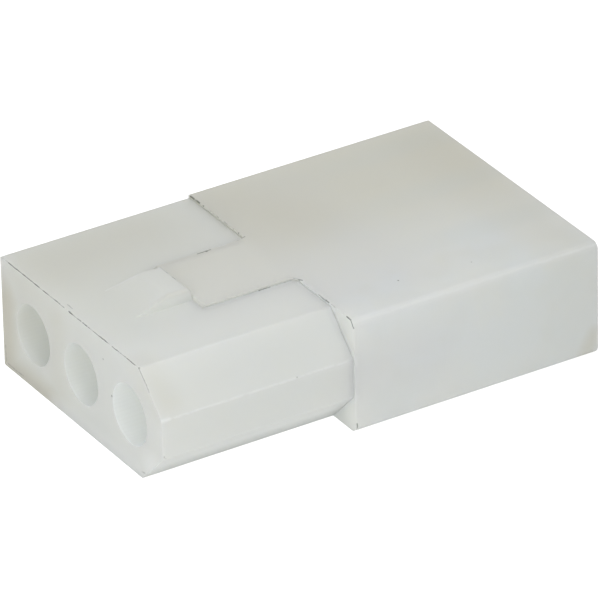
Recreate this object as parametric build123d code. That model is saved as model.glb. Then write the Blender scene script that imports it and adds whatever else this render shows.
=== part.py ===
from build123d import *
import os

# Three-way crimp connector: a plug latched home on its receptacle, in millimetres.
# +X runs from the receptacle's wire entries to the plug's wire entries.
# +Y is the flat side, -Y is the side with the two polarising chamfers.
# Z = 0 is the underside of both housings, and the origin is the middle of that underside.

# Ways
WAYS = 3
PITCH = 6.35

# Contacts, rolled from one strip of brass
PIN_R = 1.18             # round pin, 0.093 inch across
PIN_GAP = 0.03           # between the pin and the socket's bore
STRIP_T = 0.3            # strip thickness
COLLAR_LENGTH = 0.6      # rolled collar that stops the contact at the neck
COLLAR_HOLD = 0.3        # how far the collar stands over the neck's edge
TANG_HOLD = 0.24         # how far a locking tang stands over the neck's edge
TANG_LENGTH = 1.5
TANG_WIDTH = 0.9
TANG_SLACK = 0.1         # between a tang's tip and the neck it locks behind
SEAM_WIDTH = 0.12        # where the rolled edges of the strip meet
TRANSITION = 0.7         # open trough between the collar and the wire crimp
WIRE_CRIMP = 2.4
CRIMP_SPACE = 0.4
INSULATION_CRIMP = 1.7
WING_HEIGHT = 1.2        # crimp wings above the contact's axis
TROUGH_DEPTH = 0.6       # the bare strip between the crimps lies this far below the axis
PIN_LENGTH = 6.4         # parallel pin and bullet nose, beyond the body
BULLET_LENGTH = 1.2
BULLET_TIP_R = 0.4
BODY_TAPER = 0.4         # cone between the pin contact's body and its pin
SOCKET_SLOT = 4.2        # two spring slots in the socket's mouth
SLOT_WIDTH = 0.25
BELL_MOUTH = 0.2

# Cavities, stepped the same way from the wire face of each housing
NECK_GAP = 0.1           # between the contact's body and the neck
CAVITY_GAP = 0.09        # between the collar and the crimp chamber
ENTRY_STEP = 0.2         # the wire entry is this much wider in radius than the chamber
TANG_GAP = 0.1           # between the open tangs and the front bore
ENTRY_DEPTH = 2.6
CHAMBER_LENGTH = 6.4
NECK_LENGTH = 1.3
FRONT_POCKET = 1.65      # front bore of the plug, where the tangs open
LIP_LENGTH = 1.0         # lip in the nose that centres the socket
LIP_LEAD = 0.3

# Receptacle housing
END_WALL = 1.95          # nylon outside the outer wire entries
CROWN_WALL = 2.0         # nylon above and below the wire entries
POLAR_CHAMFER = 2.75
BLOCK_LENGTH = 14.85     # block that stays outside the plug
BLOCK_EDGE_R = 0.15
NOSE_WALL = 1.05
NOSE_LENGTH = 7.2
NOSE_CHAMFER = 1.8
NOSE_LEAD = 0.4

# Plug housing
NOSE_GAP = 0.1           # round the nose, inside the sleeve
NOSE_END_GAP = 0.3       # between the nose's end and the sleeve's floor
RIM_GAP = 0.02           # hairline between the plug's rim and the receptacle's shoulder
SLEEVE_SIDE = 1.15
TOP_STEP = 0.15          # the plug stands this much higher than the receptacle
NEAR_EDGE_R = 0.5        # rounding along the plug's two near edges

# Latch
TONGUE_LENGTH = 7.2
TONGUE_WIDTH = 6.4
TONGUE_T = 1.0
TONGUE_ROOT_R = 0.5
TONGUE_SIDE_GAP = 0.02
TONGUE_TIP_GAP = 0.03
TONGUE_FLOOR_GAP = 0.1
HOOK_DEPTH = 0.45
HOOK_LENGTH = 1.3
HOOK_LEAD = 0.5
CATCH_GAP = 0.05         # between the hook and the step it holds
SHOULDER_LEAD = 0.8      # slope on which the hook climbs over the shoulder
SHOULDER_DROP = 0.35
TIP_EASE = 0.2           # small chamfer on the tongue's tip

# Guard ramp before the tongue's tip
RAMP_CREST = 1.55        # level stretch that ends at the channel
RAMP_RUN = 2.9
RAMP_HEIGHT = 0.75
RAMP_WIDTH = 3.7         # of the crest
RAMP_OFFSET = 0.25       # the ramp sits this much towards the flat side
RAMP_DRAFT = 0.3         # each flank leans out by this much down to the block
RAMP_EDGE_R = 0.25

# Radii that follow from the contacts
socket_bore_r = PIN_R + PIN_GAP
body_r = socket_bore_r + STRIP_T
neck_r = body_r + NECK_GAP
collar_r = neck_r + COLLAR_HOLD
tang_r = neck_r + TANG_HOLD
chamber_r = collar_r + CAVITY_GAP
entry_r = chamber_r + ENTRY_STEP
front_r = tang_r + TANG_GAP

# Sections of the housings
row_width = (WAYS - 1) * PITCH
axis_z = entry_r + CROWN_WALL
block_width = row_width + 2 * (entry_r + END_WALL)
block_height = 2 * axis_z
nose_width = row_width + 2 * (front_r + NOSE_WALL)
nose_height = 2 * (front_r + NOSE_WALL)
plug_width = nose_width + 2 * (NOSE_GAP + SLEEVE_SIDE)
plug_height = block_height + TOP_STEP

# Stations along X
neck_depth = ENTRY_DEPTH + CHAMBER_LENGTH
plug_block_length = neck_depth + NECK_LENGTH + FRONT_POCKET
sleeve_depth = NOSE_LENGTH - RIM_GAP + NOSE_END_GAP
overall_length = BLOCK_LENGTH + RIM_GAP + sleeve_depth + plug_block_length
wire_face_x = -overall_length / 2
shoulder_x = wire_face_x + BLOCK_LENGTH
nose_end_x = shoulder_x + NOSE_LENGTH
rim_x = shoulder_x + RIM_GAP
rear_face_x = overall_length / 2
tongue_tip_x = rim_x - TONGUE_LENGTH
channel_end_x = tongue_tip_x - TONGUE_TIP_GAP
hook_catch_x = tongue_tip_x + HOOK_LENGTH

# Heights of the latch
tongue_under_z = plug_height - TONGUE_T
hook_z = tongue_under_z - HOOK_DEPTH
channel_floor_z = tongue_under_z - TONGUE_FLOOR_GAP
pocket_floor_z = hook_z - TONGUE_FLOOR_GAP


def way_y(way):
    """Place of a way across the housing; way 1 is next to the chamfered side."""
    return (way - (WAYS + 1) / 2) * PITCH


def prism(sketch, start_x, length):
    """Extrude a cross-section, drawn in Y and Z, along +X."""
    return extrude(Plane.YZ.offset(start_x) * sketch, amount=length)


def side_prism(points, width):
    """Extrude an outline of X and Z points equally to both sides of the middle plane."""
    face = make_face(Plane.XZ * Polyline(*points, close=True))
    return extrude(face, amount=width / 2, both=True)


def turned(points):
    """Solid turned about the X axis from (x, radius) points."""
    closed = [(points[0][0], 0), *points, (points[-1][0], 0)]
    return revolve(make_face(Polyline(*closed, close=True)), Axis.X)


def polarised_section(width, height, chamfer_size):
    """Rectangle about the ways' axis with both corners of its -Y side cut at 45 degrees."""
    side = width / 2
    top = height / 2
    outline = Polyline(
        (side, -top),
        (side, top),
        (chamfer_size - side, top),
        (-side, top - chamfer_size),
        (-side, chamfer_size - top),
        (chamfer_size - side, -top),
        close=True,
    )
    return Pos(0, axis_z) * make_face(outline)


def flared_strip(tip_x, root_x, width):
    """Plan of a strip whose sides sweep out in arcs to meet a wall at root_x."""
    side = width / 2
    bend_x = root_x - TONGUE_ROOT_R
    flare = side + TONGUE_ROOT_R
    sides = Polyline((bend_x, side), (tip_x, side), (tip_x, -side), (bend_x, -side))
    near_arc = CenterArc((bend_x, -flare), TONGUE_ROOT_R, 90, -90)
    root = Line((root_x, -flare), (root_x, flare))
    far_arc = CenterArc((bend_x, flare), TONGUE_ROOT_R, 0, -90)
    plan = make_face(Curve() + [sides, near_arc, root, far_arc])
    return extrude(plan, amount=plug_height + RAMP_HEIGHT)


def cavity(front_points):
    """Cutter for one stepped cavity; X = 0 is the wire face and +X leads inwards."""
    neck_end = neck_depth + NECK_LENGTH
    return turned([
        (0, entry_r),
        (ENTRY_DEPTH, entry_r),
        (ENTRY_DEPTH + ENTRY_STEP, chamber_r),
        (neck_depth, chamber_r),
        (neck_depth, neck_r),
        (neck_end, neck_r),
        (neck_end, front_r),
        *front_points,
    ])


def receptacle_cavity():
    """The receptacle's cavity ends in a lip with a lead-in for the pin."""
    end = nose_end_x - wire_face_x
    lip = end - LIP_LENGTH
    return cavity([(lip, front_r), (lip, neck_r), (end - LIP_LEAD, neck_r), (end, neck_r + LIP_LEAD)])


def plug_cavity():
    """The plug's cavity opens straight into the sleeve."""
    return cavity([(plug_block_length, front_r)])


def guard_ramp():
    """Ramp that keeps loose wires from lifting the tongue; its high end faces the tip."""
    crest_x = channel_end_x - RAMP_CREST
    start_x = crest_x - RAMP_RUN
    crest_z = block_height + RAMP_HEIGHT
    side_view = side_prism(
        [
            (start_x, block_height),
            (crest_x, crest_z),
            (channel_end_x, crest_z),
            (channel_end_x, channel_floor_z),
            (start_x, channel_floor_z),
        ],
        block_width,
    )
    crest_side = RAMP_WIDTH / 2
    foot_side = crest_side + RAMP_DRAFT
    flanks = make_face(Polyline(
        (crest_side, crest_z),
        (foot_side, block_height),
        (foot_side, channel_floor_z),
        (-foot_side, channel_floor_z),
        (-foot_side, block_height),
        (-crest_side, crest_z),
        close=True,
    ))
    ramp = side_view & Pos(0, RAMP_OFFSET, 0) * prism(flanks, start_x, channel_end_x - start_x)
    crest = ramp.faces().sort_by(Axis.Z)[-1]
    return fillet(crest.edges().sort_by(Axis.X)[1:], RAMP_EDGE_R)


def latch_channel():
    """Room for the tongue in the receptacle's top, with the step that its hook holds."""
    above = plug_height + RAMP_HEIGHT
    catch_x = hook_catch_x + CATCH_GAP
    side_view = side_prism(
        [
            (channel_end_x, above),
            (channel_end_x, pocket_floor_z),
            (catch_x, pocket_floor_z),
            (catch_x, channel_floor_z),
            (shoulder_x - SHOULDER_LEAD, channel_floor_z),
            (shoulder_x, channel_floor_z - SHOULDER_DROP),
            (shoulder_x, above),
        ],
        block_width,
    )
    plan = flared_strip(channel_end_x, shoulder_x, TONGUE_WIDTH + 2 * TONGUE_SIDE_GAP)
    return side_view & plan


def receptacle_housing():
    """Block with the wire entries, polarised nose, latch channel and guard ramp, in one piece."""
    block = prism(polarised_section(block_width, block_height, POLAR_CHAMFER), wire_face_x, BLOCK_LENGTH)
    block = fillet(block.edges().filter_by(Axis.X), BLOCK_EDGE_R)
    nose = prism(polarised_section(nose_width, nose_height, NOSE_CHAMFER), shoulder_x, NOSE_LENGTH)
    nose = chamfer(nose.faces().sort_by(Axis.X)[-1].edges(), NOSE_LEAD)
    housing = block + nose + guard_ramp() - latch_channel()
    cutter = receptacle_cavity()
    for way in range(1, WAYS + 1):
        housing -= Pos(wire_face_x, way_y(way), axis_z) * cutter
    return housing


def latch_tongue():
    """Flexing tongue with a hook under its tip; its top is level with the plug's."""
    side_view = side_prism(
        [
            (rim_x, plug_height),
            (tongue_tip_x + TIP_EASE, plug_height),
            (tongue_tip_x, plug_height - TIP_EASE),
            (tongue_tip_x, hook_z + HOOK_LEAD),
            (tongue_tip_x + HOOK_LEAD, hook_z),
            (hook_catch_x, hook_z),
            (hook_catch_x, tongue_under_z),
            (rim_x, tongue_under_z),
        ],
        plug_width,
    )
    return side_view & flared_strip(tongue_tip_x, rim_x, TONGUE_WIDTH)


def plug_housing():
    """Rectangular sleeve and rear block with the latch tongue, in one piece."""
    section = Pos(0, plug_height / 2) * Rectangle(plug_width, plug_height)
    body = prism(section, rim_x, rear_face_x - rim_x)
    near_edges = body.edges().filter_by(Axis.X).sort_by(Axis.Y)[:2]
    body = fillet(near_edges, NEAR_EDGE_R)
    nose_section = polarised_section(nose_width, nose_height, NOSE_CHAMFER)
    opening = offset(nose_section, NOSE_GAP, kind=Kind.INTERSECTION)
    housing = body - prism(opening, rim_x, sleeve_depth) + latch_tongue()
    cutter = plug_cavity()
    for way in range(1, WAYS + 1):
        housing -= Location((rear_face_x, way_y(way), axis_z), (0, 0, 180)) * cutter
    return housing


def crimp(start_x, length):
    """Open crimp barrel: a round-bottomed trough whose two wings stand up to be folded."""
    def trough(radius, top):
        bowl = Circle(radius) + Pos(0, top / 2) * Rectangle(2 * radius, top)
        return bowl & Pos(0, (top - radius) / 2) * Rectangle(2 * radius, top + radius)
    section = trough(body_r, WING_HEIGHT) - trough(body_r - STRIP_T, 2 * WING_HEIGHT)
    return prism(section, start_x, length)


def strip_trough(start_x, length):
    """The strip between two formed stretches, left as the bottom of the trough."""
    ring = Circle(body_r) - Circle(body_r - STRIP_T)
    below = Pos(0, -TROUGH_DEPTH - body_r) * Rectangle(2 * body_r, 2 * body_r)
    return prism(ring & below, start_x, length)


def contact_tail():
    """Trough, wire crimp and insulation crimp behind the collar, towards -X."""
    wire_x = -COLLAR_LENGTH - TRANSITION - WIRE_CRIMP
    insulation_x = wire_x - CRIMP_SPACE - INSULATION_CRIMP
    tail = strip_trough(insulation_x, -COLLAR_LENGTH - insulation_x)
    tail += crimp(wire_x, WIRE_CRIMP)
    tail += crimp(insulation_x, INSULATION_CRIMP)
    return tail


def tangs():
    """Two tangs lanced out of the body, which spring open behind the neck."""
    tip_x = NECK_LENGTH + TANG_SLACK
    root_x = tip_x + TANG_LENGTH
    tang = extrude(
        make_face(Polyline(
            (root_x, body_r),
            (tip_x, tang_r),
            (tip_x, tang_r - STRIP_T),
            (root_x, body_r - STRIP_T),
            close=True,
        )),
        amount=TANG_WIDTH / 2,
        both=True,
    )
    return tang + mirror(tang, about=Plane.XZ)


def tang_windows():
    """Openings that the lanced tangs leave in the body, open on both sides of the tangs."""
    tip_x = NECK_LENGTH + TANG_SLACK
    middle_x = tip_x + (TANG_LENGTH - STRIP_T) / 2
    return Pos(middle_x, 0, 0) * Box(TANG_LENGTH - STRIP_T, 3 * body_r, TANG_WIDTH + 2 * SEAM_WIDTH)


def seam(start_x, end_x):
    """Slit along the top where the rolled edges meet."""
    return Pos((start_x + end_x) / 2, 0, body_r) * Box(end_x - start_x, SEAM_WIDTH, 2 * body_r)


def pin_contact():
    """Pin contact; X = 0 is the collar's face on the neck and +X leads to the pin's tip."""
    body_end = NECK_LENGTH + FRONT_POCKET
    pin_x = body_end + BODY_TAPER
    tip_x = body_end + PIN_LENGTH
    bullet_x = tip_x - BULLET_LENGTH
    outside = turned([
        (-COLLAR_LENGTH, collar_r),
        (0, collar_r),
        (0, body_r),
        (body_end, body_r),
        (pin_x, PIN_R),
        (bullet_x, PIN_R),
        ((bullet_x + tip_x) / 2, (PIN_R * 2 + BULLET_TIP_R) / 3),
        (tip_x, BULLET_TIP_R),
    ])
    inside = turned([
        (-COLLAR_LENGTH, body_r - STRIP_T),
        (body_end - STRIP_T, body_r - STRIP_T),
        (pin_x, PIN_R - STRIP_T),
        (bullet_x, PIN_R - STRIP_T),
    ])
    front = outside - inside - seam(-COLLAR_LENGTH, bullet_x) - tang_windows()
    return front + tangs() + contact_tail()


def socket_contact():
    """Socket contact; X = 0 is the collar's face on the neck and +X leads to the mouth."""
    mouth_x = nose_end_x - wire_face_x - neck_depth - LIP_LEAD
    outside = turned([
        (-COLLAR_LENGTH, collar_r),
        (0, collar_r),
        (0, body_r),
        (mouth_x, body_r),
    ])
    inside = turned([
        (-COLLAR_LENGTH, socket_bore_r),
        (mouth_x - BELL_MOUTH, socket_bore_r),
        (mouth_x, socket_bore_r + BELL_MOUTH),
    ])
    slot_x = mouth_x - SOCKET_SLOT / 2
    slots = Pos(slot_x, 0, 0) * Box(SOCKET_SLOT, 3 * body_r, SLOT_WIDTH)
    front = outside - inside - seam(-COLLAR_LENGTH, mouth_x) - tang_windows() - slots
    return front + tangs() + contact_tail()


def main():
    """Write one file for each piece."""
    pieces = {
        "receptacle_housing": receptacle_housing(),
        "plug_housing": plug_housing(),
    }
    socket = socket_contact()
    pin = pin_contact()
    for way in range(1, WAYS + 1):
        in_receptacle = Location((wire_face_x + neck_depth, way_y(way), axis_z))
        in_plug = Location((rear_face_x - neck_depth, way_y(way), axis_z), (0, 0, 180))
        pieces[f"socket_contact_{way}"] = in_receptacle * socket
        pieces[f"pin_contact_{way}"] = in_plug * pin
    os.makedirs("parts", exist_ok=True)
    for name, piece in pieces.items():
        export_step(piece, f"parts/{name}.step")
        print(name, "volume", round(piece.volume, 2), "solids", len(piece.solids()))
    print("overall length", round(overall_length, 2))
    print("receptacle", round(block_width, 2), "wide", round(block_height, 2), "high")
    print("plug", round(plug_width, 2), "wide", round(plug_height, 2), "high")


main()
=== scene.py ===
# %% [markdown]
# # A connector plug latched on its receptacle
#
# The object is a pair of small natural nylon mouldings, 34 mm long, which carry three crimped
# contacts each. The exact solids already exist, so this lesson loads them as a fixed frame and
# gives them what the eye sees: softened mould edges, milky translucent nylon, dulled brass
# inside, dark marks along sharp edges and seams that are partly dirt and partly painted shade in
# the gaps, and painted light and painted shade on a few faces.

# %% Load the imported model
import math

import bmesh
import bpy
from mathutils import Matrix, Vector


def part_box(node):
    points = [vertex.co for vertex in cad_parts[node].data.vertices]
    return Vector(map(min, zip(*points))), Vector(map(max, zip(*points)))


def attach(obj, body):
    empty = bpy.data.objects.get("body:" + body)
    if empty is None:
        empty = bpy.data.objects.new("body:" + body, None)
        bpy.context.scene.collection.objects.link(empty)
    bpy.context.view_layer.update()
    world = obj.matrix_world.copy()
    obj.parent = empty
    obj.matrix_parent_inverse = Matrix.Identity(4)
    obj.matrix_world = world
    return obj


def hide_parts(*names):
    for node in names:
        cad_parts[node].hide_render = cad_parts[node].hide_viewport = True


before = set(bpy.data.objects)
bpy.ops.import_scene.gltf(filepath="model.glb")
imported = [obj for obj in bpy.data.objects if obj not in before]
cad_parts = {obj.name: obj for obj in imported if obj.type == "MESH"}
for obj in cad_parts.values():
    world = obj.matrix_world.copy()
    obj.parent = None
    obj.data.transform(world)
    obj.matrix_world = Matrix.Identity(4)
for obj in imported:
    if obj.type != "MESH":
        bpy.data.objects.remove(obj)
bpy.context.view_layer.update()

MM = 0.001
print("solids loaded:", len(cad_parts))

# %% [markdown]
# ## Where things are
#
# A finish that follows an edge or a seam has to know where that edge is. On a real drawing these
# places are dimensions, so they are worked out here once, in millimetres, from the boxes of the
# solids and from the few sizes of the mouldings that a box can't tell.

# %% Read the main stations from the solids
receptacle_low, receptacle_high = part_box("receptacle_housing")
plug_low, plug_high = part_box("plug_housing")

WAY_PITCH = 6.35
ENTRY_R = 2.2
TONGUE_LENGTH = 7.2
TONGUE_WIDTH = 6.4
TONGUE_ROOT_R = 0.5
RAMP_HEIGHT = 0.75
CHAMFER = 2.75

wire_x = receptacle_low.x / MM
rear_x = plug_high.x / MM
tip_x = plug_low.x / MM
rim_x = tip_x + TONGUE_LENGTH
half_block = receptacle_high.y / MM
half_plug = plug_high.y / MM
block_top = receptacle_high.z / MM - RAMP_HEIGHT
plug_top = plug_high.z / MM
axis_z = block_top / 2
chamfer_y = CHAMFER - half_block
chamfer_z = block_top - CHAMFER
print("wire face, tongue tip, rim, rear:", [round(x, 2) for x in (wire_x, tip_x, rim_x, rear_x)])
print("block top, plug top:", round(block_top, 2), round(plug_top, 2))

# %% [markdown]
# ## The camera
#
# The photograph was taken from far away with a long lens, so parallel edges hardly converge.
# A 480 mm lens at half a metre gives the same flat perspective. The camera's place is written as
# angles and a distance round a point near the middle of the object, because that is how a
# photographer would move it.

# %% Place the camera
CAMERA_AZIMUTH = math.radians(238.79)
CAMERA_ELEVATION = math.radians(29.365)
CAMERA_ROLL = math.radians(-1.239)
CAMERA_DISTANCE = 542.5
AIM_RIGHT = -0.074
AIM_UP = 3.956
SENSOR_WIDTH = 36.0
LENS = 480.0

level = math.cos(CAMERA_ELEVATION)
away = Vector((
    level * math.cos(CAMERA_AZIMUTH),
    level * math.sin(CAMERA_AZIMUTH),
    math.sin(CAMERA_ELEVATION),
))
flat_right = Vector((0, 0, 1)).cross(away).normalized()
flat_up = away.cross(flat_right)
right = math.cos(CAMERA_ROLL) * flat_right + math.sin(CAMERA_ROLL) * flat_up
up = math.cos(CAMERA_ROLL) * flat_up - math.sin(CAMERA_ROLL) * flat_right

camera_data = bpy.data.cameras.new("camera")
camera_data.sensor_width = SENSOR_WIDTH
camera_data.lens = LENS
camera_data.clip_start = 0.01
camera_data.clip_end = 10
camera = bpy.data.objects.new("camera", camera_data)
place = (AIM_RIGHT * right + AIM_UP * up + CAMERA_DISTANCE * away) * MM
turn = Matrix((right, up, away)).transposed().to_4x4()
camera.matrix_world = Matrix.Translation(place) @ turn
bpy.context.collection.objects.link(camera)
bpy.context.scene.camera = camera
print("camera at, mm:", [round(c / MM, 1) for c in place])

# %% [markdown]
# ## A bright table and soft light
#
# Small translucent parts are usually shot on a white table that glows a little, so that hardly
# any shadow is left and the light comes from all around. The floor here is white and gives off
# some light of its own, and the world is a plain white dome. Three soft boxes shape the rest: a
# large one at the left front corner makes the slow fall of light from the near corner to the far
# one, a small one overhead lifts the top, and one at the back keeps the far edges from sinking.
# The floor looks whiter to the camera than to the nylon, as on a photograph whose background is
# burnt out: a floor that really shone so much would wash the shading off the sides.

# %% Helpers for node trees
def add(tree, kind, **settings):
    """A new shader node with its settings."""
    node = tree.nodes.new("ShaderNode" + kind)
    for name, value in settings.items():
        setattr(node, name, value)
    return node


def feed(tree, node, **inputs):
    """Give sockets a number, a colour or another node's output; _ in a name stands for a space."""
    for name, value in inputs.items():
        socket = node.inputs[name.replace("_", " ")]
        if isinstance(value, bpy.types.NodeSocket):
            tree.links.new(value, socket)
        else:
            socket.default_value = value
    return node


def calculate(tree, operation, first, second=0.0, third=0.0, clamp=False):
    """The result of one Math node."""
    node = add(tree, "Math", operation=operation, use_clamp=clamp)
    for socket, value in zip(node.inputs, (first, second, third)):
        if isinstance(value, bpy.types.NodeSocket):
            tree.links.new(value, socket)
        else:
            socket.default_value = value
    return node.outputs[0]


# %% Set the view, the table and the lights
TABLE_SIDE = 3.0
TABLE_DROP = 0.01 * MM
TABLE_COLOUR = (0.86, 0.86, 0.86, 1)
TABLE_GLOW = 0.147
TABLE_WHITENESS = 0.65
DOME_STRENGTH = 0.377

scene = bpy.context.scene
scene.view_settings.view_transform = "Standard"

table_shape = bmesh.new()
bmesh.ops.create_grid(table_shape, x_segments=1, y_segments=1, size=TABLE_SIDE / 2)
bmesh.ops.translate(table_shape, verts=table_shape.verts, vec=(0, 0, -TABLE_DROP))
table_mesh = bpy.data.meshes.new("table")
table_shape.to_mesh(table_mesh)
table_shape.free()
table = bpy.data.objects.new("table", table_mesh)
bpy.context.collection.objects.link(table)

white = bpy.data.materials.new("white table")
white.use_nodes = True
seen = add(white.node_tree, "LightPath").outputs["Is Camera Ray"]
feed(white.node_tree, white.node_tree.nodes["Principled BSDF"],
     Base_Color=TABLE_COLOUR, Roughness=0.9, Emission_Color=(1, 1, 1, 1),
     Emission_Strength=calculate(white.node_tree, "MULTIPLY_ADD", seen, TABLE_WHITENESS, TABLE_GLOW))
table_mesh.materials.append(white)

dome = bpy.data.worlds.new("white dome")
dome.use_nodes = True
feed(dome.node_tree, dome.node_tree.nodes["Background"], Color=(1, 1, 1, 1), Strength=DOME_STRENGTH)
scene.world = dome


def soft_box(name, place_mm, aim_mm, side_mm, power, colour):
    """A square soft box that faces its aim."""
    data = bpy.data.lights.new(name, "AREA")
    data.shape = "SQUARE"
    data.size = side_mm * MM
    data.energy = power
    data.color = colour
    lamp = bpy.data.objects.new(name, data)
    gaze = (Vector(aim_mm) - Vector(place_mm)).normalized()
    facing = gaze.to_track_quat("-Z", "Y").to_matrix().to_4x4()
    lamp.matrix_world = Matrix.Translation(Vector(place_mm) * MM) @ facing
    bpy.context.collection.objects.link(lamp)


soft_box("front soft box", (-110, -95, 60), (-10, -6, 4), 90, 0.060, (1.0, 1.0, 1.0))
soft_box("top soft box", (-10, -20, 90), (-4, -4, 8), 60, 0.021, (1.0, 1.0, 1.0))
soft_box("back soft box", (50, 60, 130), (5, 5, 4), 90, 0.020, (1.0, 1.0, 1.0))

# %% [markdown]
# ## Marks: dirt, painted light and painted shade
#
# Natural nylon shows every grain of dirt. Dark hairlines, thicker in some places than in others,
# run along the sharpest parting edges, and where the two mouldings meet they are partly dirt and
# partly painted shade in the narrow gaps. Pale strokes are mostly painted light and painted
# highlights, and wide darker ones are painted shade. Thin pieces of geometry would be needlessly
# heavy for this, so the marks are part of the nylon's colour: a node group measures how far a
# point is from a straight stroke and returns how strongly the stroke covers the point. A stroke
# whose ends all but meet is a speck, and a wide one is a broad patch.
#
# The clamps in the group are nodes of their own. With the clamp setting of the Math and Map Range
# nodes in their place, a few strokes more than there are here were too much for one material,
# and it rendered black.

# %% A node group that draws one stroke
CLOT_EDGE = 0.09         # a clot fades over this much noise on each side of the gaps number
LEAST_WIDTH = 0.25       # the width where a clot has faded, as a share of the half width


def stroke_group():
    """Group with a stroke's two ends, half width, depth and gaps; returns its cover at a point."""
    group = bpy.data.node_groups.new("stroke", "ShaderNodeTree")
    for name in ("Point", "Start", "End"):
        group.interface.new_socket(name, in_out="INPUT", socket_type="NodeSocketVector")
    for name in ("Clots", "Half Width", "Depth", "Gaps"):
        group.interface.new_socket(name, in_out="INPUT", socket_type="NodeSocketFloat")
    group.interface.new_socket("Cover", in_out="OUTPUT", socket_type="NodeSocketFloat")
    given = group.nodes.new("NodeGroupInput").outputs
    result = group.nodes.new("NodeGroupOutput")

    def vector(operation, first, second=None, scale=None):
        node = add(group, "VectorMath", operation=operation)
        group.links.new(first, node.inputs[0])
        if second is not None:
            group.links.new(second, node.inputs[1])
        if scale is not None:
            group.links.new(scale, node.inputs["Scale"])
        return node.outputs["Value"] if operation in ("DOT_PRODUCT", "LENGTH") else node.outputs["Vector"]

    reach = vector("SUBTRACT", given["Point"], given["Start"])
    run = vector("SUBTRACT", given["End"], given["Start"])
    share = calculate(group, "DIVIDE", vector("DOT_PRODUCT", reach, run),
                      vector("DOT_PRODUCT", run, run))
    along = feed(group, add(group, "Clamp"), Value=share).outputs[0]
    distance = vector("LENGTH", vector("SUBTRACT", reach, vector("SCALE", run, scale=along)))
    gap_end = calculate(group, "SUBTRACT", given["Gaps"], CLOT_EDGE)
    clot_start = calculate(group, "ADD", given["Gaps"], CLOT_EDGE)
    filling = feed(group, add(group, "MapRange", clamp=False), Value=given["Clots"],
                   From_Min=gap_end, From_Max=clot_start).outputs[0]
    filled = feed(group, add(group, "Clamp"), Value=filling).outputs[0]
    swelling = calculate(group, "ADD", filled, LEAST_WIDTH)
    width = calculate(group, "MULTIPLY", given["Half Width"], swelling)
    edge = feed(group, add(group, "MapRange", interpolation_type="SMOOTHSTEP"), Value=distance,
                From_Min=width, From_Max=0.0).outputs[0]
    depth = calculate(group, "MULTIPLY", filled, given["Depth"])
    cover = calculate(group, "MULTIPLY", edge, depth)
    group.links.new(cover, result.inputs["Cover"])
    return group


stroke = stroke_group()
print("stroke group nodes:", len(stroke.nodes))

# %% [markdown]
# ## Where the marks are
#
# Each stroke is a start, an end, a half width in millimetres, a depth from 0 to 1 and a number
# for its gaps: the higher it is, the more of the stroke is missing. Dark marks sit where the real
# pair has them: along the top of the wire face, round the corner of the rim, beside the tongue and
# before its tip, with a few stray specks. Round the rim, beside the tongue and before its tip they
# are partly dirt and partly painted shade in the narrow gaps between the mouldings. The narrow
# pale strokes along the plug's near top edge and the chamfer's lower edge are painted highlights;
# a few others are paler lines and spots on the ramp's far edge, beside the tongue and on the faces.
# The broad pale ones, such as those along the seam, the base and the lower chamfer, are no wear
# but painted light: shading comes out darker there than on the photograph, and they offset it.
# The wide dark strokes are painted shade on the far part of the wire face, the far top, the
# ramp's near flank and the plug's rear end.

# %% List the dark marks, the pale strokes and the painted shade
WHOLE = -1.0
CORNER = 0.15
crest_z = block_top + RAMP_HEIGHT


def speck(x, y, z, radius, depth):
    """A round mark; its two ends are a hair apart, so that it still has a direction."""
    return ((x, y, z), (x + 0.01, y, z), radius, depth, WHOLE)


# Dark hairlines and specks. Before the tongue's tip and along the tongue's near side they are partly dirt
# and partly painted shade in the narrow gaps between the mouldings.
receptacle_dirt_and_gap_shade = (
    ((wire_x, 10.2, block_top), (wire_x, 9.5, block_top), 0.04, 0.6, 0.36),
    ((wire_x, 9.4, block_top), (wire_x, 2.0, block_top), 0.055, 1.0, 0.26),
    ((wire_x, 1.35, block_top), (wire_x, -1.1, block_top), 0.055, 1.0, 0.36),
    ((wire_x, -1.2, block_top), (wire_x, -7.9, block_top), 0.045, 1.0, 0.24),
    ((wire_x, chamfer_y, block_top), (wire_x, chamfer_y - 1.25, block_top - 1.25), 0.04, 0.6, 0.34),
    ((wire_x + 0.4, 2.2, block_top), (wire_x + 0.4, 1.5, block_top), 0.05, 0.4, 0.4),
    ((wire_x, 10.25, 1.6), (wire_x, 10.2, 0.35), 0.09, 0.3, 0.4),
    ((wire_x, 10.0, 0.28), (wire_x, 7.9, 0.3), 0.08, 0.28, 0.4),
    ((wire_x, -7.7, 0.5), (wire_x, -8.1, 0.6), 0.09, 0.45, 0.42),
    ((wire_x + 0.1, -10.5, 2.95), (wire_x + 0.25, -10.5, 2.7), 0.08, 0.4, 0.4),
    *(speck(wire_x, y, block_top, 0.075, 0.8) for y in (7.5, 5.3, 1.2, -0.45, -4.3)),
    speck(wire_x, -7.75, block_top, 0.12, 0.85),
    # dark ticks before the tongue's tip: painted shade in the gap between the tip and the ramp's crest
    speck(tip_x - 0.1, 1.13, crest_z - 0.07, 0.13, 0.6),
    ((tip_x - 0.1, 0.45, crest_z - 0.07), (tip_x - 0.1, 0.1, crest_z - 0.07), 0.13, 0.6, 0.2),
    speck(tip_x - 0.1, -1.5, crest_z - 0.15, 0.14, 0.5),
    speck(wire_x, -3.03, 6.84, 0.08, 0.6),
    speck(wire_x, -4.05, 4.5, 0.1, 0.7),
    speck(wire_x + 10.46, -10.46, 5.69, 0.07, 0.5),
    # along the tongue's near side: partly dirt and partly painted shade in the gap
    ((rim_x - 0.1, -3.27, block_top), (rim_x - 1.5, -3.25, block_top), 0.045, 0.5, 0.42),
    ((rim_x - 2.0, -3.25, block_top), (rim_x - 2.9, -3.25, block_top), 0.055, 0.85, 0.36),
    speck(rim_x - 2.85, -3.25, block_top, 0.1, 0.8),
    ((rim_x - 2.9, -3.25, block_top), (rim_x - 4.05, -3.25, block_top), 0.045, 0.35, 0.44),
)
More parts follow.
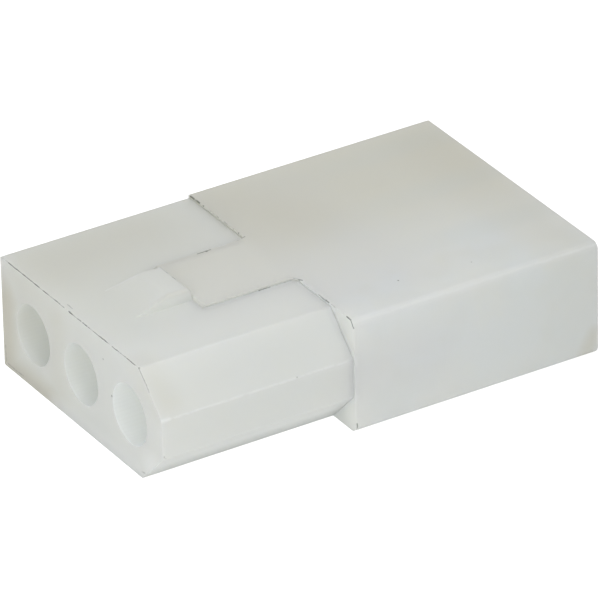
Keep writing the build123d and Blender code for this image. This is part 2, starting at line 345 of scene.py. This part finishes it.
# On the plug, the dark lines along the rim and the tongue's far edge are partly dirt and partly painted
# shade in the gap between the mouldings; the specks farther back on the top are dirt.
plug_dirt_and_gap_shade = (
    ((rim_x - 3.79, 3.1, plug_top), (rim_x - 2.77, 3.13, plug_top), 0.06, 0.85, 0.36),
    speck(rim_x - 3.1, 3.1, plug_top, 0.13, 0.95),
    ((rim_x - 0.6, 3.2, plug_top), (rim_x + 0.1, 3.4, plug_top), 0.06, 0.6, 0.34),
    ((rim_x, 10.3, plug_top), (rim_x, 9.15, plug_top), 0.1, 0.95, 0.36),
    ((rim_x, 8.4, plug_top), (rim_x, 5.0, plug_top), 0.05, 0.5, 0.5),
    ((rim_x + 0.1, -3.9, plug_top), (rim_x - 0.2, -3.35, plug_top), 0.1, 0.75, 0.3),
    ((rim_x, -6.2, plug_top), (rim_x, -7.5, plug_top), 0.06, 0.85, 0.36),
    ((rim_x, -7.75, plug_top), (rim_x, -8.4, plug_top), 0.05, 0.45, 0.42),
    ((rim_x, -9.7, plug_top), (rim_x, -10.2, plug_top - 0.04), 0.08, 0.9, 0.3),
    ((rim_x, -10.2, plug_top - 0.04), (rim_x, -10.55, plug_top - 0.5), 0.08, 0.9, 0.3),
    ((rim_x + 0.1, -10.6, 0.7), (rim_x + 0.1, -10.6, 0.16), 0.07, 0.75, 0.36),
    speck(rim_x, -7.1, plug_top, 0.11, 0.8),
    speck(rim_x, 8.64, plug_top, 0.1, 0.75),
    speck(rim_x, 4.74, plug_top, 0.07, 0.7),
    speck(rim_x, 4.07, plug_top, 0.08, 0.8),
    speck(rim_x - 1.82, 3.2, plug_top, 0.06, 0.35),
    speck(wire_x + 20.31, -7.48, plug_top, 0.08, 0.75),
    speck(wire_x + 25.74, -8.06, plug_top, 0.06, 0.5),
    speck(rim_x, -9.3, 4.0, 0.06, 0.45),
)
# Painted light: the seam round the rim and beside the tongue is painted paler, to offset the shade in the
# narrow gap and the inner corners.
SEAM_LIGHT_HALF_WIDTH = 0.35         # half width
SEAM_LIGHT_DEPTH = 0.9
seam_corners = (
    (rim_x, -3.9, block_top),
    (rim_x, chamfer_y, block_top),
    (rim_x, -half_block, chamfer_z),
    (rim_x, -half_block, CHAMFER),
    (rim_x, chamfer_y, 0.0),
)
seam_painted_light = [
    (start, end, SEAM_LIGHT_HALF_WIDTH, SEAM_LIGHT_DEPTH, WHOLE)
    for start, end in zip(seam_corners, seam_corners[1:])
]
# The plug's near top edge gets a painted highlight, just inside its rounding.
near_edge_start = (rim_x, -half_plug + CORNER, plug_top - CORNER)
near_edge_end = (rear_x, -half_plug + CORNER, plug_top - CORNER)
# Pale strokes: mostly painted light and painted highlights, with a few paler lines and patches.
receptacle_pale_and_painted_light = (
    *seam_painted_light,
    # painted light along the tongue's near seam, offsetting the shade in its inner corner
    ((tip_x + 0.4, -3.25, block_top), (rim_x - 0.5, -3.25, block_top), SEAM_LIGHT_HALF_WIDTH, SEAM_LIGHT_DEPTH, WHOLE),
    # painted highlight along the lower edge of the chamfer, with a brighter spot at the wire face
    ((wire_x, -half_block, chamfer_z), (rim_x, -half_block, chamfer_z), 0.12, 0.5, 0.4),
    ((wire_x, -half_block, chamfer_z), (wire_x + 0.6, -half_block, chamfer_z), 0.18, 0.8, WHOLE),
    # paler lines along the ramp's far edge
    ((tip_x - 4.2, 2.3, block_top), (tip_x - 1.6, 2.1, crest_z), 0.12, 0.7, 0.3),
    ((tip_x - 1.6, 2.1, crest_z), (tip_x, 2.1, crest_z), 0.12, 0.7, 0.3),
    # paler patches under the chamfer's top edge and at the far top corner of the wire face
    ((wire_x + 7.6, -8.1, block_top - 0.3), (wire_x + 9.4, -8.1, block_top - 0.3), 0.9, 0.15, WHOLE),
    ((wire_x, 10.4, block_top - 0.2), (wire_x, 9.6, block_top - 0.2), 0.7, 0.25, WHOLE),
    # painted light: the near part of the top is lifted, and the base of the wire face and the lower near
    # side are painted paler to offset their shade
    ((wire_x + 2.0, -6.4, block_top), (rim_x, -5.8, block_top), 3.0, 0.3, WHOLE),
    ((wire_x, 3.5, 0.0), (wire_x, -7.0, 0.0), 1.2, 0.6, WHOLE),
    ((wire_x, -9.2, 1.2), (rim_x, -9.2, 1.2), 1.7, 0.75, WHOLE),
)
# Pale strokes on the plug: painted light along the seam, a painted highlight on the near top edge and a
# paler spot beside the tongue.
plug_pale_and_painted_light = (
    *seam_painted_light,
    # painted highlight along the plug's near top edge
    (near_edge_start, near_edge_end, 0.14, 0.5, 0.32),
    ((rim_x - 2.1, 3.2, plug_top), (rim_x - 1.6, 3.2, plug_top), 0.15, 0.7, WHOLE),
)
# Painted shade: wide darker strokes on the far part of the wire face and its base, on the ramp's near
# flank, on the far top and on the chamfer next to the wire face.
receptacle_painted_shade = (
    ((wire_x, 10.5, 5.2), (wire_x, 10.5, 0.0), 2.4, 0.75, WHOLE),
    ((wire_x, 10.5, 0.0), (wire_x, 4.0, 0.0), 1.8, 0.6, WHOLE),
    ((wire_x, 3.2, 6.8), (wire_x, 3.2, 1.0), 1.8, 0.15, WHOLE),
    ((tip_x - 2.4, -1.6, crest_z), (tip_x, -1.6, crest_z), 0.35, 0.25, WHOLE),
    ((wire_x + 2.5, 7.5, block_top), (wire_x + 9.0, 8.5, block_top), 5.0, 0.22, WHOLE),
    ((wire_x + 0.6, -7.0, block_top), (wire_x + 0.8, -9.5, block_top - 2.0), 1.6, 0.2, WHOLE),
)
# Painted shade: wide darker strokes on the rear end of the plug's near side, its lower rear corner, the
# rear of its top and the far part of its top by the rim.
plug_painted_shade = (
    ((rear_x, -10.6, 7.0), (rear_x, -10.6, 1.0), 4.5, 0.15, WHOLE),
    ((rear_x - 0.3, -10.6, 1.6), (rear_x - 0.9, -10.6, 0.3), 1.2, 0.45, WHOLE),
    ((rear_x - 1.0, 7.0, plug_top), (rear_x - 1.5, -9.0, plug_top), 4.5, 0.2, WHOLE),
    ((rim_x + 1.0, 9.0, plug_top), (rim_x + 4.0, 3.0, plug_top), 4.0, 0.15, WHOLE),
)
print("strokes on the receptacle:", len(receptacle_dirt_and_gap_shade + receptacle_pale_and_painted_light + receptacle_painted_shade))
print("strokes on the plug:", len(plug_dirt_and_gap_shade + plug_pale_and_painted_light + plug_painted_shade))

# %% [markdown]
# ## Natural nylon
#
# Unfilled nylon is milky: light goes in, wanders for a millimetre or two and comes out again,
# which blurs every shadow. Subsurface scattering does that. The colour is a pale grey that drifts
# slowly between a greenish and a bluish white, yellower in random patches and on the tongue.
# Towards the flat side it is painted yellower and darker, as painted shade for the side that gets
# less light. Soft darker bands over the plug's cavities are painted shade too, for the light that
# the thin walls lose into the hollows. The walls of the wire entries are painted paler, and a
# faint glow is painted into them, for the daylight that comes through; both grow towards the
# chamfered side and the wire face. The glow's strength was matched to the photograph's tones, so
# in another light the entries look a little brighter than real ones. The surface is satin, with
# the fine grain of an eroded mould and very shallow sink marks over the thick places. The marks
# wander a little from their straight strokes, because dirt follows the grain and not a ruler.

# %% Tones, and helpers that lay them on
SCATTER_REACH = 2.5 * MM
GRAIN_HEIGHT = 0.0016 * MM
WAVE_HEIGHT = 0.02 * MM
BAND_SHIFT = WAY_PITCH / 2 + 1.2
# colour of the painted shade in bands over the plug's cavities
CAVITY_SHADE_COLOUR = (0.70, 0.75, 0.73, 1)
# colour of the dark marks: dirt, and painted shade in the gaps between the mouldings
DIRT_AND_SHADE_COLOUR = (0.05, 0.062, 0.045, 1)
# colour of the pale strokes, most of them painted light and painted highlights
PALE_AND_PAINTED_LIGHT_COLOUR = (0.90, 0.925, 0.90, 1)
# colour of the painted shade
PAINTED_SHADE_COLOUR = (0.61, 0.58, 0.47, 1)
# paler colour painted into the wire entries as painted light
ENTRY_LIGHT_COLOUR = (0.985, 1.0, 0.985, 1)
THROUGH_LIGHT = 0.30
THROUGH_COLOUR = (0.82, 0.90, 1.0, 1)
WANDER = 0.16
NYLON_IOR = 1.53
MILKINESS = 0.45         # share of the light that scatters under the surface
SCATTER_BY_COLOUR = (1.0, 0.97, 0.86)


def tint(tree, factor, first, second):
    """One colour between two, by a factor from 0 to 1."""
    node = add(tree, "Mix", data_type="RGBA")
    for socket, value in zip((node.inputs[0], node.inputs[6], node.inputs[7]), (factor, first, second)):
        if isinstance(value, bpy.types.NodeSocket):
            tree.links.new(value, socket)
        else:
            socket.default_value = value
    return node.outputs[2]


def ramp(tree, value, low, high, soft=True):
    """0 where value is at low, 1 at high."""
    node = add(tree, "MapRange", interpolation_type="SMOOTHSTEP" if soft else "LINEAR")
    return feed(tree, node, Value=value, From_Min=low, From_Max=high).outputs[0]


def marks(tree, point, clots, strokes):
    """The strongest cover of all strokes at a point."""
    cover = 0.0
    for start, end, half_width, depth, gaps in strokes:
        one = add(tree, "Group", node_tree=stroke)
        feed(tree, one, Point=point, Clots=clots, Start=start, End=end,
             Half_Width=half_width, Depth=depth, Gaps=gaps)
        cover = calculate(tree, "MAXIMUM", one.outputs[0], cover)
    return cover


def strayed(tree, point):
    """The point moved by up to half the wander each way, by a slow noise."""
    drift = feed(tree, add(tree, "TexNoise"), Vector=point, Scale=1.1, Detail=2.0).outputs["Color"]
    back = add(tree, "VectorMath", operation="SUBTRACT")
    back.inputs[1].default_value = (WANDER / 2, WANDER / 2, WANDER / 2)
    tree.links.new(point, back.inputs[0])
    astray = add(tree, "VectorMath", operation="MULTIPLY_ADD")
    astray.inputs[1].default_value = (WANDER, WANDER, WANDER)
    tree.links.new(drift, astray.inputs[0])
    tree.links.new(back.outputs[0], astray.inputs[2])
    return astray.outputs[0]


# %% [markdown]
# The nylon is put together from four parts, each a function of its own: the slow drift of the
# colour with its painted shade towards the flat side, the painted shade in bands over the
# cavities, the painted light inside the cavities and the satin surface.
# Places and widths are in millimetres, and what ends in MOST is a share from 0 to 1.

# %% The parts of the nylon
# where and how strongly the flat side is painted yellower and darker, as painted shade
FLAT_SIDE_SHADE_FROM_Y = -7.0
FLAT_SIDE_SHADE_TO_Y = 5.0
FLAT_SIDE_SHADE_MOST = 0.9
PATCHES_MOST = 0.2
BAND_EDGE = 1.9
BAND_CORE = 0.3
UNLIT_Y = 24.0
LIT_Y = -20.0
UNLIT_PAST_REAR = 6.0
SINK_DEPTH = -0.4        # against the height of the slow waves
SATIN_FINEST = 0.36
SATIN_ROUGHEST = 0.5
DARK_MARKS_DULL = 0.35


def clouded(tree, point, xyz, pale, cool, yellowed_and_shaded):
    """Pale nylon that drifts to a cooler white, yellower in random patches, and painted yellower and darker
    towards the flat side as painted shade.
    """
    cloud = feed(tree, add(tree, "TexNoise"), Vector=point, Scale=0.16, Detail=2.0, Roughness=0.45)
    patch = feed(tree, add(tree, "TexNoise"), Vector=point, Scale=0.34, Detail=1.0, Roughness=0.4)
    colour = tint(tree, ramp(tree, cloud.outputs[0], 0.36, 0.64), pale, cool)
    in_patches = calculate(tree, "MULTIPLY", ramp(tree, patch.outputs[0], 0.45, 0.75), PATCHES_MOST)
    # painted shade: yellower and darker towards the flat side, away from the front soft box
    to_flat_side = ramp(tree, xyz["Y"], FLAT_SIDE_SHADE_FROM_Y, FLAT_SIDE_SHADE_TO_Y)
    flat_side_shade = calculate(tree, "MULTIPLY", to_flat_side, FLAT_SIDE_SHADE_MOST)
    return tint(tree, calculate(tree, "MAXIMUM", in_patches, flat_side_shade), colour, yellowed_and_shaded)


def over_cavities(tree, xyz):
    """1 over the middle of each hollow way, 0 beside it."""
    shifted = calculate(tree, "ADD", xyz["Y"], BAND_SHIFT)
    return ramp(tree, calculate(tree, "PINGPONG", shifted, WAY_PITCH / 2), BAND_EDGE, BAND_CORE)


def light_through_walls(tree, xyz):
    """Mask of the painted light in the cavities: 0 outside them; in them it rises to the chamfered side and
    the receptacle's end.
    """
    beside_way = calculate(tree, "PINGPONG", xyz["Y"], WAY_PITCH / 2)
    above_way = calculate(tree, "SUBTRACT", xyz["Z"], axis_z)
    above_squared = calculate(tree, "POWER", above_way, 2.0)
    squares = calculate(tree, "MULTIPLY_ADD", beside_way, beside_way, above_squared)
    from_axis = calculate(tree, "SQRT", squares)
    last_wall = WAY_PITCH + ENTRY_R
    between_sides = ramp(tree, calculate(tree, "ABSOLUTE", xyz["Y"]), last_wall + 0.3, last_wall + 0.1)
    in_bore = ramp(tree, from_axis, ENTRY_R + 0.05, ENTRY_R - 0.05)
    inside = calculate(tree, "MULTIPLY", between_sides, in_bore)
    lit_across = ramp(tree, xyz["Y"], UNLIT_Y, LIT_Y, soft=False)
    lit_along = ramp(tree, xyz["X"], rear_x + UNLIT_PAST_REAR, wire_x, soft=False)
    return calculate(tree, "MULTIPLY", inside, calculate(tree, "MULTIPLY", lit_across, lit_along))


def satin_surface(tree, point, over_cavity, dirt_and_shade_cover):
    """Roughness and normal of an eroded mould's grain, with sink marks, and duller under the dark marks."""
    grain = feed(tree, add(tree, "TexNoise"), Vector=point, Scale=9.0, Detail=4.0, Roughness=0.6)
    waves = feed(tree, add(tree, "TexNoise"), Vector=point, Scale=0.45, Detail=1.0)
    sunk = calculate(tree, "MULTIPLY", over_cavity, SINK_DEPTH)
    sink = calculate(tree, "ADD", waves.outputs[0], sunk)
    broad = feed(tree, add(tree, "Bump"), Height=sink, Distance=WAVE_HEIGHT, Strength=1.0)
    fine = feed(tree, add(tree, "Bump"), Height=grain.outputs[0], Distance=GRAIN_HEIGHT, Strength=1.0,
                Normal=broad.outputs[0])
    satin = feed(tree, add(tree, "MapRange"), Value=grain.outputs[0], From_Min=0.3, From_Max=0.7,
                 To_Min=SATIN_FINEST, To_Max=SATIN_ROUGHEST)
    dulled = calculate(tree, "MULTIPLY", dirt_and_shade_cover, DARK_MARKS_DULL)
    return calculate(tree, "ADD", satin.outputs[0], dulled, clamp=True), fine.outputs[0]


# %% [markdown]
# One function lays these parts on each other and then adds the painted shade, the pale strokes
# with the painted light, and the dark marks, in that order, so that the dark marks lie on top.
# Between the receptacle's wire face and the rim, where all that shows is the receptacle's block
# and the plug's tongue, each nylon has one tone of its own that prevails over the drift.

# %% Build the two nylons
BEFORE_RIM_MOST = 0.7


def natural_nylon(name, pale, cool, yellowed_and_shaded, before_rim, cavity_shade_depth, painted_shade, pale_and_painted_light, dirt_and_gap_shade):
    """Milky nylon; the colours are linear, and the strokes are in millimetres."""
    material = bpy.data.materials.new(name)
    material.use_nodes = True
    tree = material.node_tree
    shader = tree.nodes["Principled BSDF"]
    metres = add(tree, "TexCoord").outputs["Object"]
    point = feed(tree, add(tree, "Mapping"), Vector=metres, Scale=(1 / MM, 1 / MM, 1 / MM)).outputs[0]
    xyz = feed(tree, add(tree, "SeparateXYZ"), Vector=point).outputs

    over_cavity = over_cavities(tree, xyz)
    near_rear = ramp(tree, xyz["X"], rim_x + 2.0, rear_x - 2.0)
    # painted shade: soft darker bands over the plug's cavities, deeper towards its rear
    cavity_shade = calculate(tree, "MULTIPLY", over_cavity, calculate(tree, "MULTIPLY", near_rear, cavity_shade_depth))
    through_walls = light_through_walls(tree, xyz)
    past_rim = ramp(tree, xyz["X"], rim_x + 0.6, rim_x - 1.2)
    prevailing = calculate(tree, "MULTIPLY", past_rim, BEFORE_RIM_MOST)
    colour = clouded(tree, point, xyz, pale, cool, yellowed_and_shaded)
    colour = tint(tree, cavity_shade, colour, CAVITY_SHADE_COLOUR)
    # painted light: the walls of the wire entries are painted paler, most towards the chamfered side and
    # the wire face
    colour = tint(tree, through_walls, colour, ENTRY_LIGHT_COLOUR)
    colour = tint(tree, prevailing, colour, before_rim)

    clots = feed(tree, add(tree, "TexNoise"), Vector=point, Scale=1.7, Detail=3.0, Roughness=0.7).outputs[0]
    astray = strayed(tree, point)
    # dark marks: dirt, and painted shade in the gaps between the mouldings
    dirt_and_shade_cover = marks(tree, astray, clots, dirt_and_gap_shade)
    # painted shade from the wide darker strokes
    colour = tint(tree, marks(tree, point, clots, painted_shade), colour, PAINTED_SHADE_COLOUR)
    # pale strokes, most of them painted light and painted highlights
    colour = tint(tree, marks(tree, astray, clots, pale_and_painted_light), colour, PALE_AND_PAINTED_LIGHT_COLOUR)
    colour = tint(tree, dirt_and_shade_cover, colour, DIRT_AND_SHADE_COLOUR)

    roughness, normal = satin_surface(tree, point, over_cavity, dirt_and_shade_cover)
    feed(tree, shader, Base_Color=colour, Roughness=roughness, Normal=normal, IOR=NYLON_IOR,
         Subsurface_Weight=MILKINESS, Subsurface_Scale=SCATTER_REACH, Emission_Color=THROUGH_COLOUR,
         Emission_Strength=calculate(tree, "MULTIPLY", through_walls, THROUGH_LIGHT))
    shader.inputs["Subsurface Radius"].default_value = SCATTER_BY_COLOUR
    return material


receptacle_nylon = natural_nylon(
    "receptacle nylon",
    pale=(0.80, 0.82, 0.785, 1),
    cool=(0.785, 0.82, 0.81, 1),
    yellowed_and_shaded=(0.79, 0.80, 0.705, 1),
    before_rim=(0.80, 0.82, 0.785, 1),
    cavity_shade_depth=0.0,
    painted_shade=receptacle_painted_shade,
    pale_and_painted_light=receptacle_pale_and_painted_light,
    dirt_and_gap_shade=receptacle_dirt_and_gap_shade,
)
plug_nylon = natural_nylon(
    "plug nylon",
    pale=(0.83, 0.85, 0.815, 1),
    cool=(0.815, 0.85, 0.84, 1),
    yellowed_and_shaded=(0.764, 0.760, 0.670, 1),
    before_rim=(0.845, 0.850, 0.765, 1),
    cavity_shade_depth=0.2,
    painted_shade=plug_painted_shade,
    pale_and_painted_light=plug_pale_and_painted_light,
    dirt_and_gap_shade=plug_dirt_and_gap_shade,
)
print("nylon nodes:", len(receptacle_nylon.node_tree.nodes), len(plug_nylon.node_tree.nodes))

# %% [markdown]
# ## Softened edges
#
# No moulded edge is perfectly sharp: the steel is polished and the nylon shrinks away from it.
# The solids have the roundings that can be seen from afar, and every other outer edge gets a
# small one here. Each moulding is copied, its loose triangles are joined into whole faces again,
# and a narrow bevel runs along the edges that are still sharp. Only the edges at the rim and
# round the tongue are left as they are, because a bevel on both sides of a hairline gap would
# open it into a groove. Weighted normals then keep the wide faces flat, so that all the turning
# of the light happens on the narrow roundings between them.

# %% Copy the mouldings and bevel their sharp edges
MERGE_DISTANCE = 0.0005 * MM
FLAT_ANGLE = math.radians(0.4)
SHARP_ANGLE = math.radians(32)
SMOOTH_ANGLE = math.radians(40)
EDGE_SOFTENING = 0.06 * MM
SEAM_REACH = 0.1


def borders_plug(edge):
    """True for an edge at the rim or round the tongue, where the two mouldings all but touch."""
    beside_tongue = TONGUE_WIDTH / 2 + TONGUE_ROOT_R + SEAM_REACH
    for corner in (vert.co / MM for vert in edge.verts):
        at_rim = abs(corner.x - rim_x) < SEAM_REACH
        at_tongue = tip_x - SEAM_REACH < corner.x < rim_x and abs(corner.y) < beside_tongue
        if not (at_rim or at_tongue):
            return False
    return True


def softened_copy(node_name, name, material):
    """A moulding with bevelled edges, which stands for its solid."""
    shape = bmesh.new()
    shape.from_mesh(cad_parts[node_name].data)
    bmesh.ops.remove_doubles(shape, verts=shape.verts, dist=MERGE_DISTANCE)
    bmesh.ops.dissolve_limit(shape, angle_limit=FLAT_ANGLE, verts=shape.verts, edges=shape.edges,
                             use_dissolve_boundaries=False)
    sharp = [e for e in shape.edges if len(e.link_faces) == 2 and e.calc_face_angle() > SHARP_ANGLE]
    sharp = [e for e in sharp if not borders_plug(e)]
    bmesh.ops.bevel(shape, geom=sharp, affect="EDGES", offset=EDGE_SOFTENING, offset_type="OFFSET",
                    segments=2, profile=0.5, material=-1, clamp_overlap=True)
    open_edges = sum(1 for e in shape.edges if len(e.link_faces) != 2)
    print(name, "sharp edges:", len(sharp), "faces:", len(shape.faces), "open edges:", open_edges,
          "volume mm3:", round(shape.calc_volume() / MM ** 3, 1))
    mesh = bpy.data.meshes.new(name)
    shape.to_mesh(mesh)
    shape.free()
    if "custom_normal" in mesh.attributes:
        mesh.attributes.remove(mesh.attributes["custom_normal"])
    mesh.shade_smooth()
    mesh.set_sharp_from_angle(angle=SMOOTH_ANGLE)
    mesh.materials.clear()
    mesh.materials.append(material)
    piece = bpy.data.objects.new(name, mesh)
    bpy.context.collection.objects.link(piece)
    shading = piece.modifiers.new("wide faces stay flat", "WEIGHTED_NORMAL")
    shading.keep_sharp = True
    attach(piece, "root")
    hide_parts(node_name)


softened_copy("receptacle_housing", "receptacle_moulding", receptacle_nylon)
softened_copy("plug_housing", "plug_moulding", plug_nylon)

# %% [markdown]
# ## Brass contacts
#
# The contacts are rolled from brass strip. Only their ends show, deep in the wire entries, but
# they are finished like the rest: fine lines along the strip from rolling and darker patches
# where the metal has dulled.

# %% Finish the contacts
BRIGHT_BRASS = (0.80, 0.60, 0.29, 1)
DULLED_BRASS = (0.50, 0.35, 0.17, 1)
LINE_BRASS = (0.92, 0.78, 0.5, 1)
LINE_DEPTH = 0.002 * MM


def rolled_brass():
    """Dulled brass strip with rolling lines along X."""
    material = bpy.data.materials.new("rolled brass")
    material.use_nodes = True
    tree = material.node_tree
    shader = tree.nodes["Principled BSDF"]
    metres = add(tree, "TexCoord").outputs["Object"]
    point = feed(tree, add(tree, "Mapping"), Vector=metres, Scale=(1 / MM, 1 / MM, 1 / MM)).outputs[0]
    drawn_out = (0.6 / MM, 14 / MM, 14 / MM)
    stretched = feed(tree, add(tree, "Mapping"), Vector=metres, Scale=drawn_out).outputs[0]
    lines = feed(tree, add(tree, "TexNoise"), Vector=stretched, Scale=1.0, Detail=3.0)
    patches = feed(tree, add(tree, "TexNoise"), Vector=point, Scale=1.1, Detail=4.0, Roughness=0.65)
    dulled = ramp(tree, patches.outputs[0], 0.42, 0.68)
    colour = tint(tree, dulled, BRIGHT_BRASS, DULLED_BRASS)
    colour = tint(tree, calculate(tree, "MULTIPLY", lines.outputs[0], 0.25), colour, LINE_BRASS)
    roughness = feed(tree, add(tree, "MapRange"), Value=dulled, To_Min=0.24, To_Max=0.46).outputs[0]
    bump = feed(tree, add(tree, "Bump"), Height=lines.outputs[0], Distance=LINE_DEPTH, Strength=1.0)
    feed(tree, shader, Base_Color=colour, Roughness=roughness, Metallic=1.0, Normal=bump.outputs[0])
    return material


brass = rolled_brass()
contacts = [node for name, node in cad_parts.items() if "contact" in name]
for contact in contacts:
    contact.data.materials.clear()
    contact.data.materials.append(brass)
print("contacts finished:", len(contacts))
